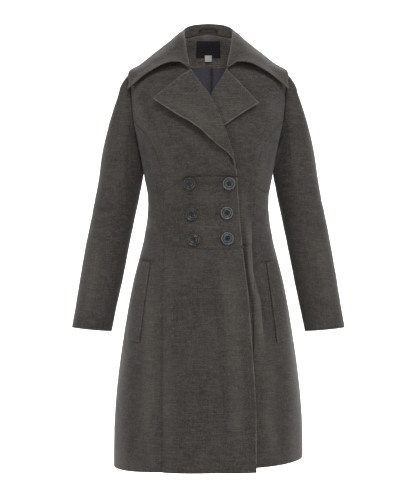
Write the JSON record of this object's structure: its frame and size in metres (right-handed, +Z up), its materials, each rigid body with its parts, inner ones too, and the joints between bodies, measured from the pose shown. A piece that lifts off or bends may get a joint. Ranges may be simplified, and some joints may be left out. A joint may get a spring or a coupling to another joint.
{
  "type": "a-line coat",
  "caption": "Double-breasted A-line wool coat with a wide collar, notched lapels, princess seams and welt pockets, filled out as worn.",
  "frame": {"origin": "on the centre plane at half the height of the shoulder seams, between the front and the back of the neck: the mount wearer_shoulders, where a wearer or a form holds the coat up", "axes": "+Z up to the collar, -Y out of the buttoned front, +X to the wearer's left"},
  "size_m": [0.637, 0.3358, 1.052],
  "materials": {
    "wool": "matte wool, dark taupe-charcoal marl",
    "lining": "satin lining, slate navy",
    "button": "satin gloss, charcoal navy",
    "label": "woven, dark",
    "size_tag": "woven, white"
  },
  "bodies": {
    "root": {"front_bodice_right": "wool", "front_bodice_left": "wool", "midriff_right": "wool", "midriff_left": "wool", "skirt_front_right": "wool", "skirt_front_left": "wool", "side_bodice_right": "wool", "side_bodice_left": "wool", "skirt_side_right": "wool", "skirt_side_left": "wool", "back_right": "wool", "back_left": "wool", "side_back_right": "wool", "side_back_left": "wool", "sleeve_top_right": "wool", "sleeve_top_left": "wool", "sleeve_under_right": "wool", "sleeve_under_left": "wool", "lapel_right": "wool", "lapel_left": "wool", "pocket_welt_right": "wool", "pocket_welt_left": "wool", "collar": "wool", "back_neck_facing": "wool", "lining_back": "lining", "hanger_loop": "lining", "button_right_top": "button", "button_right_middle": "button", "button_right_bottom": "button", "button_left_top": "button", "button_left_middle": "button", "button_left_bottom": "button", "neck_label": "label", "size_tag": "size_tag"}
  },
  "joints": []
}
